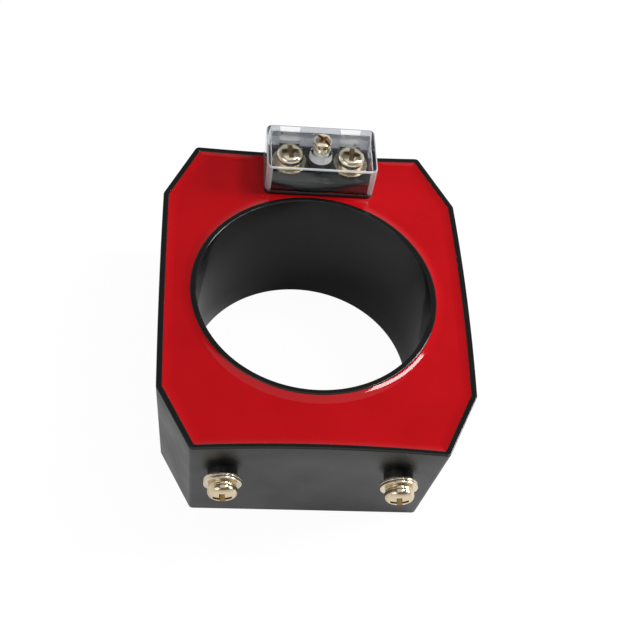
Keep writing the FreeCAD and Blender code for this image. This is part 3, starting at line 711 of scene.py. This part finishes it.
# %% Terminal block
FLANGE_BOTTOM, BLOCK_BOTTOM, COVER_SEAT, WELL_BOTTOM = 52.0, 52.5, 53.0, 60.9
BODY, BODY_BOTTOM, BODY_Y = (39.0, 17.4, 2.4), 46.6, TERMINAL_Y - 2.0
BLOCK = (35.9, 17.7, 0.9)
flange = rounded_box(
    "terminal_block_piece", TERMINAL_X, TERMINAL_Y, *FLANGE, FLANGE_BOTTOM, COVER_SEAT, 0.25, 0.1
)
body = rounded_box("body", TERMINAL_X, BODY_Y, *BODY, BODY_BOTTOM, BLOCK_BOTTOM)
block = rounded_box("block", TERMINAL_X, TERMINAL_Y, *BLOCK, BLOCK_BOTTOM, BLOCK_TOP, 0.2)
post = turned("post", [(4.4, BLOCK_BOTTOM), (4.3, WELL_BOTTOM - 0.2), (4.1, WELL_BOTTOM)], ring=False)
place(post, TERMINAL_X, TERMINAL_Y, 0)
cut(flange, body, block, post, union=True)
soften(flange)
# the block's grey is a painted sheen
paint(flange, block_plastic, tube_plastic)
for face in flange.data.polygons:
    if face.center.z < (COVER_SEAT + 0.05) * MM:
        face.material_index = 1
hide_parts("terminal_base")
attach(flange, "root")

# %% Wire guide at the back of the block
smoked_plastic, shader = new_finish("smoked_plastic", IOR=1.3, Transmission_Weight=0.75)
two_tones(smoked_plastic, shader, 6.0, (0.55, 0.56, 0.58), (0.68, 0.69, 0.71))
uneven_gloss(smoked_plastic, shader, 3.0, 0.25, 0.4)
GUIDE_FRONT, GUIDE_TOP = TERMINAL_Y + 6.25, 63.5
WAY_WIDTH, WAY_LENGTH, WAY_TOP = 7.4, 8.0, 59.9
guide_depth = TERMINAL_Y + BLOCK[1] / 2 - GUIDE_FRONT
guide_y = GUIDE_FRONT + guide_depth / 2
guide = rounded_box("wire_guide", TERMINAL_X, guide_y, BLOCK[0], guide_depth, 0.5, BLOCK_TOP, GUIDE_TOP, 0.2)
ways = [
    rounded_box("way", x, GUIDE_FRONT + 2, WAY_WIDTH, WAY_LENGTH, 0.4, BLOCK_TOP - 1, WAY_TOP, 0.3)
    for x in TERMINAL_PLACES.values()
]
cut(guide, *ways)
soften(guide)
paint(guide, smoked_plastic)
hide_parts("terminal_base")
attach(guide, "root")

# %% [markdown]
# ## The clear cover
#
# The cover is a thin polycarbonate box. Clear plastic shows its shape only by its edges, so wall
# thickness, corner radii and edge rounding all have to be there, and the mesh has to be closed for
# light to bend properly on its way through. A well hangs from the top face for the cover screw, and
# two slots in the back wall let the wires in. The slots stop 1 mm below the top face, so its edge is
# unbroken.
#
# Five finishes share the cover. The flat faces are clear. The rounded edges and the foot are painted
# pale, a painted highlight for the light they gather. The well is frosted and painted whiter, partly a
# painted light for the light that the cover keeps from it. The side walls are painted a little milky,
# a painted light for the bright streaks in them. The back wall with its edges is tinted darker, a painted
# shade for the dim part of the room behind it.

# %% Clear plastic
def clear(name, tint, ior, see_through, smoothest, roughest, depth_mm):
    """Clear plastic under a glossy coat; what isn't see-through in it is a milky scatter."""
    material, shader = new_finish(
        name, Base_Color=(*tint, 1), IOR=ior, Transmission_Weight=see_through,
        Coat_Weight=1.0, Coat_Roughness=0.02,
    )
    uneven_gloss(material, shader, 5.0, smoothest, roughest)
    relief(material, shader, 6.0, depth_mm, detail=1.0)
    return material


clear_plastic = clear("clear_plastic", (0.97, 0.98, 0.99), 1.12, 1.0, 0.0, 0.03, 0.01)
# painted light and shade: the pale edges are a painted highlight, the darker back a painted shade, the milky
# sides a painted light, and the whiter frost partly painted light
edge_painted_highlight = clear("edge_painted_highlight", (0.95, 0.96, 0.97), 1.15, 0.6, 0.1, 0.2, 0.01)
clear_shade = clear("clear_shade", (0.5, 0.53, 0.59), 1.15, 0.85, 0.05, 0.15, 0.01)
side_painted_light = clear("side_painted_light", (0.93, 0.95, 0.98), 1.12, 0.8, 0.0, 0.05, 0.01)
frost_and_painted_light = clear("frost_and_painted_light", (0.98, 0.985, 0.99), 1.2, 0.15, 0.3, 0.4, 0.03)

# %% Cover
COVER = (39.2, 21.0, 2.4)
COVER_WALL, COVER_TOP_WALL, SLOT_SKIN = 1.5, 1.6, 1.0
COVER_TOP, COVER_BACK = 65.4, TERMINAL_Y + COVER[1] / 2
COVER_ROUNDING, COVER_FOOT_ROUNDING, INSIDE_ROUNDING = 0.55, 0.45, 0.35
SCREW_HOLE, WELL_RADIUS, WELL_FLOOR = 2.15, 2.9, WELL_BOTTOM + 1.3
cover = rounded_box(
    "clear_cover", TERMINAL_X, TERMINAL_Y, *COVER, COVER_SEAT, COVER_TOP, COVER_ROUNDING, COVER_FOOT_ROUNDING
)
inside = rounded_box(
    "inside", TERMINAL_X, TERMINAL_Y, COVER[0] - 2 * COVER_WALL, COVER[1] - 2 * COVER_WALL,
    COVER[2] - COVER_WALL, COVER_SEAT - 1, COVER_TOP - COVER_TOP_WALL, INSIDE_ROUNDING,
)
cut(cover, inside)
well = turned("well", [(4.2, WELL_BOTTOM), (4.15, WELL_BOTTOM + 0.6), (3.7, COVER_TOP - 0.8)], ring=False)
place(well, TERMINAL_X, TERMINAL_Y, 0)
cut(cover, well, union=True)
hollow = turned(
    "hollow",
    [
        (SCREW_HOLE, WELL_BOTTOM - 1), (SCREW_HOLE, WELL_FLOOR), (2.6, WELL_FLOOR),
        (WELL_RADIUS, WELL_FLOOR + 0.3), (WELL_RADIUS, COVER_TOP - 0.25),
        (WELL_RADIUS + 0.25, COVER_TOP), (WELL_RADIUS + 0.3, COVER_TOP + 1),
    ],
    ring=False,
)
place(hollow, TERMINAL_X, TERMINAL_Y, 0)
slots = [
    rounded_box("slot", x, COVER_BACK, WAY_WIDTH, 2 * COVER_WALL, 0.1, COVER_SEAT - 1, COVER_TOP - SLOT_SKIN)
    for x in TERMINAL_PLACES.values()
]
cut(cover, hollow, *slots)
soften(cover, 0.15, 45.0)

# %% Finishes of the cover
PAINTED_HIGHLIGHT, FROST_AND_LIGHT, SHADE, PAINTED_SIDE_LIGHT = 1, 2, 3, 4
WELL_REACH, FLAT = 4.5, 0.985


def cover_finish(face):
    """Number of the finish of one face of the cover, by its place and direction: clear, painted highlight,
    painted light or painted shade.
    """
    centre, normal = face.center / MM, face.normal
    middle = Vector((TERMINAL_X, TERMINAL_Y))
    reach = max((cover.data.vertices[i].co.xy / MM - middle).length for i in face.vertices)
    if reach < WELL_REACH:
        return FROST_AND_LIGHT
    from_back, from_side = COVER_BACK - centre.y, COVER[0] / 2 - abs(centre.x - TERMINAL_X)
    # rounded edges and the foot get the painted highlight, those at the back the painted shade
    if max(abs(share) for share in normal) < FLAT or centre.z < COVER_SEAT + 0.2:
        return SHADE if from_back < COVER_WALL + 0.3 else PAINTED_HIGHLIGHT
    # the back wall's outer face gets the painted shade
    if normal.y > FLAT and from_back < 0.2:
        return SHADE
    # the side walls get the painted light
    return PAINTED_SIDE_LIGHT if abs(normal.x) > FLAT and from_side < 2 else 0


paint(cover, clear_plastic, edge_painted_highlight, frost_and_painted_light, clear_shade, side_painted_light)
for face in cover.data.polygons:
    face.material_index = cover_finish(face)
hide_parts("terminal_cover")
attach(cover, "root")
print("faces in the cover:", len(cover.data.polygons))

# %% [markdown]
# ## The cover screw
#
# This M4 cheese-head screw isn't driven home: its head and spring washer stand above the cover. The
# head has a slot and a cross, so that either kind of driver fits.

# %% Cover screw
COVER_HEAD_RADIUS, COVER_HEAD_HEIGHT, COVER_CROWN, COVER_BROW = 3.1, 2.1, 0.5, 0.45
COVER_NECK, COVER_HEAD_EDGE, COVER_SHOULDER = 1.9, 0.12, 0.35
COVER_RECESS_SPAN, COVER_RECESS_WIDTH, COVER_RECESS_DEPTH, COVER_RECESS_REACH = 4.3, 1.1, 1.6, 3.0
GROOVE_LENGTH, GROOVE_WIDTH, GROOVE_DEPTH = 8.0, 1.1, 1.1
COVER_SHANK_RADIUS, COVER_SHANK_PITCH, COVER_SHANK_LENGTH = 2.0, 0.7, 11.1
COVER_SPRING_OUTER, COVER_SPRING, HEAD_LIFT = 2.7, 1.0, 1.5
COVER_SCREW_TURN = math.radians(130)
under_head = COVER_TOP + HEAD_LIFT + COVER_SPRING
radius, height = COVER_HEAD_RADIUS, COVER_HEAD_HEIGHT
profile = [(COVER_NECK, 0.0)]
profile += [(radius - inset, drop) for inset, drop in reversed(rounding(COVER_HEAD_EDGE))]
profile += [(radius - inset, height - COVER_BROW - drop) for inset, drop in rounding(COVER_SHOULDER)]
profile += [(radius * share, height - COVER_CROWN * share ** 2) for share in (0.8, 0.6, 0.4, 0.2, 0.02)]
head = turned("cover_screw_head", profile, ring=False)
groove = rounded_box("groove", 0, 0, GROOVE_LENGTH, GROOVE_WIDTH, 0.1, height - GROOVE_DEPTH, height + 1)
cut(head, groove, *cross_tool(COVER_RECESS_SPAN, COVER_RECESS_WIDTH, COVER_RECESS_DEPTH, height))
# the cover screw shares the palest copy, a painted light
paint(head, nickel_painted_light)
shade_recess(head, COVER_RECESS_REACH, height, COVER_RECESS_DEPTH)
soften(head, 0.08, 40.0)
thread = threaded(
    "cover_screw_thread", COVER_SHANK_RADIUS, COVER_SHANK_PITCH, -COVER_SHANK_LENGTH, INTO_HEAD, 0.25
)
spring = spring_washer("cover_spring_washer_piece", SCREW_HOLE, COVER_SPRING_OUTER, COVER_SPRING, 18.0, 0.2)
spring.data.transform(Matrix.Translation((0, 0, -COVER_SPRING * MM)))
# thread and spring washer share the palest copy, a painted light
paint(thread, nickel_painted_light)
paint(spring, nickel_painted_light)
for piece, node in ((head, "cover_screw"), (thread, None), (spring, "cover_spring_washer")):
    place(piece, TERMINAL_X, TERMINAL_Y, under_head, spin=COVER_SCREW_TURN)
    if node:
        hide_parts(node)
    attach(piece, "root")

# %% [markdown]
# ## What the resin hides
#
# The coil, its wrapping, the leads and the brass inserts can't be seen, but the part is also used
# cut open or taken apart, so each carried-over CAD node gets the finish of its own material.

# %% Hidden pieces
def plain(name, dark, light, roughness, metallic=0.0, grain_mm=0.8, depth_mm=0.02, stretch=(1, 1, 1)):
    """Finish of one hidden material: two tones, some change of gloss and a little relief."""
    material, shader = new_finish(name, Metallic=metallic)
    two_tones(material, shader, grain_mm * 3, dark, light)
    uneven_gloss(material, shader, grain_mm * 2, roughness, roughness + 0.15)
    relief(material, shader, grain_mm, depth_mm, stretch=stretch)
    return material


hidden = {
    "core": plain("strip_steel", (0.3, 0.31, 0.33), (0.42, 0.43, 0.45), 0.3, 1.0, 0.3, 0.03, (1, 1, 0.05)),
    "core_insulation": plain("press_paper", (0.5, 0.38, 0.2), (0.62, 0.5, 0.3), 0.7),
    "secondary_winding": plain("enamelled_copper", (0.5, 0.18, 0.07), (0.65, 0.27, 0.11), 0.2, 1.0),
    "winding_tape": plain("cotton_tape", (0.66, 0.62, 0.48), (0.78, 0.74, 0.62), 0.8),
    "lead_s1": plain("lead_cover", (0.01, 0.01, 0.01), (0.025, 0.025, 0.025), 0.45),
}
hidden["lead_s2"] = hidden["lead_s1"]
for insert in (
    "terminal_insert_s1", "terminal_insert_s2", "bracket_insert_left", "bracket_insert_right", "cover_insert"
):
    hidden[insert] = insert_brass
for name, material in hidden.items():
    paint(nodes[name], material)

# %% [markdown]
# ## Floor, lights and background
#
# The photograph has a pure white background and a soft key light from the right. The floor and the
# world are white where the camera looks at them, also through the clear cover, and the floor still
# keeps the part's shadow. A shiny surface sees a mix of that white and of the floor as it is really
# lit, but the white is left out under the part, a painted shadow, so the floor is bright around the case and
# dark inside the window, and that gives the black walls their sheen.
# Above the horizon the world turns darker for gloss, as a studio ceiling does, so that the red resin
# stays red.
#
# Four lamps do the rest. The key stands low at the right and lights the metal, the strip draws the
# bright arc on the resin beside the ring, the large dim lamp overhead lightens the whole top, and the
# fill at the left keeps the shaded walls from going black.

# %% Floor
def math_node(tree, operation, first, second):
    """One operation on two values; each is a socket or a number."""
    node = tree.nodes.new("ShaderNodeMath")
    node.operation = operation
    for value, socket in ((first, node.inputs[0]), (second, node.inputs[1])):
        if isinstance(value, (int, float)):
            socket.default_value = value
        else:
            tree.links.new(value, socket)
    return node.outputs[0]


def looked_at(tree, gloss_share=0.0):
    """1 where the camera looks, also through clear plastic, and gloss_share for reflections."""
    path = tree.nodes.new("ShaderNodeLightPath").outputs
    seen = math_node(tree, "MAXIMUM", path["Is Camera Ray"], path["Is Transmission Ray"])
    seen = math_node(tree, "MULTIPLY", seen, math_node(tree, "LESS_THAN", path["Glossy Depth"], 0.5))
    return math_node(tree, "MAXIMUM", seen, math_node(tree, "MULTIPLY", path["Is Glossy Ray"], gloss_share))


def painted_shadow_for_gloss(tree, centre_mm=(18, 5, 0), near_mm=46.0, far_mm=74.0, most=0.6):
    """Painted shadow for gloss: 0 on the floor under the part, rising to most outside it."""
    where = tree.nodes.new("ShaderNodeTexCoord")
    reach = tree.nodes.new("ShaderNodeVectorMath")
    reach.operation = "DISTANCE"
    reach.inputs[1].default_value = Vector(centre_mm) * MM
    tree.links.new(where.outputs["Object"], reach.inputs[0])
    ramp = tree.nodes.new("ShaderNodeMapRange")
    ramp.interpolation_type = "SMOOTHSTEP"
    for socket, value in (("From Min", near_mm * MM), ("From Max", far_mm * MM), ("To Max", most)):
        ramp.inputs[socket].default_value = value
    tree.links.new(reach.outputs["Value"], ramp.inputs["Value"])
    return ramp.outputs["Result"]


def background_white(tree, shader_output, strength=1.06, share=0.9):
    """Mixes white light into a shader where the camera looks at it, and less of it for gloss, none under the
    part: a painted shadow.
    """
    # painted shadow: reflections see no white under the part
    scaled = math_node(tree, "MULTIPLY", looked_at(tree, painted_shadow_for_gloss(tree)), share)
    glow = tree.nodes.new("ShaderNodeEmission")
    glow.inputs["Strength"].default_value = strength
    mix = tree.nodes.new("ShaderNodeMixShader")
    tree.links.new(scaled, mix.inputs["Fac"])
    tree.links.new(shader_output, mix.inputs[1])
    tree.links.new(glow.outputs["Emission"], mix.inputs[2])
    return mix.outputs["Shader"]


FLOOR_REACH = 3000.0
bm = bmesh.new()
corners = [(sx * FLOOR_REACH, sy * FLOOR_REACH, 0) for sx, sy in ((-1, -1), (1, -1), (1, 1), (-1, 1))]
bm.faces.new([bm.verts.new(corner) for corner in corners])
floor = finish_mesh(bm, "floor")
floor_white, shader = new_finish("floor_white", Base_Color=(0.85, 0.85, 0.85, 1), Roughness=0.9)
tree = floor_white.node_tree
surface = background_white(tree, shader.outputs["BSDF"])
tree.links.new(surface, tree.nodes["Material Output"].inputs["Surface"])
paint(floor, floor_white)

# %% World
world = bpy.data.worlds.new("studio")
bpy.context.scene.world = world
world.use_nodes = True
tree = world.node_tree
ambient = tree.nodes["Background"]
ambient.inputs["Color"].default_value = (1, 1, 1, 1)
ambient.inputs["Strength"].default_value = 0.22
path = tree.nodes.new("ShaderNodeLightPath")
direction = tree.nodes.new("ShaderNodeTexCoord")
split = tree.nodes.new("ShaderNodeSeparateXYZ")
ceiling = tree.nodes.new("ShaderNodeMapRange")
ceiling.interpolation_type = "SMOOTHSTEP"
for socket, value in (("From Min", 0.15), ("From Max", 0.7), ("To Min", 1.0), ("To Max", 0.2)):
    ceiling.inputs[socket].default_value = value
tree.links.new(direction.outputs["Generated"], split.inputs["Vector"])
tree.links.new(split.outputs["Z"], ceiling.inputs["Value"])
in_gloss = tree.nodes.new("ShaderNodeBackground")
tree.links.new(ceiling.outputs["Result"], in_gloss.inputs["Strength"])
seen_white = tree.nodes.new("ShaderNodeBackground")
seen_white.inputs["Strength"].default_value = 1.0
for_gloss = tree.nodes.new("ShaderNodeMixShader")
tree.links.new(path.outputs["Is Glossy Ray"], for_gloss.inputs["Fac"])
tree.links.new(ambient.outputs["Background"], for_gloss.inputs[1])
tree.links.new(in_gloss.outputs["Background"], for_gloss.inputs[2])
for_camera = tree.nodes.new("ShaderNodeMixShader")
tree.links.new(looked_at(tree), for_camera.inputs["Fac"])
tree.links.new(for_gloss.outputs["Shader"], for_camera.inputs[1])
tree.links.new(seen_white.outputs["Background"], for_camera.inputs[2])
tree.links.new(for_camera.outputs["Shader"], tree.nodes["World Output"].inputs["Surface"])

# %% Lamps
def softbox(name, place_mm, aim_mm, width, height, watts, roll=0.0):
    """Soft rectangular lamp that faces a point, turned about its own axis by roll degrees."""
    data = bpy.data.lights.new(name, "AREA")
    data.shape = "RECTANGLE"
    data.size, data.size_y = width * MM, height * MM
    data.energy = watts
    lamp = bpy.data.objects.new(name, data)
    lamp.location = Vector(place_mm) * MM
    aim = Vector(aim_mm) * MM - lamp.location
    lamp.rotation_mode = "QUATERNION"
    lamp.rotation_quaternion = aim.to_track_quat("-Z", "Y") @ Quaternion((0, 0, 1), math.radians(roll))
    bpy.context.scene.collection.objects.link(lamp)


softbox("key", (520, 60, 360), (0, 0, 40), 180, 180, 2.9)
softbox("strip", (282, 96, 560), (0, 0, 50), 210, 70, 1.15, -58)
softbox("top", (0, 0, 750), (0, 0, 40), 560, 560, 0.6)
softbox("fill", (-500, -350, 500), (0, 0, 30), 500, 400, 0.9)

bpy.context.scene.view_settings.view_transform = "Standard"
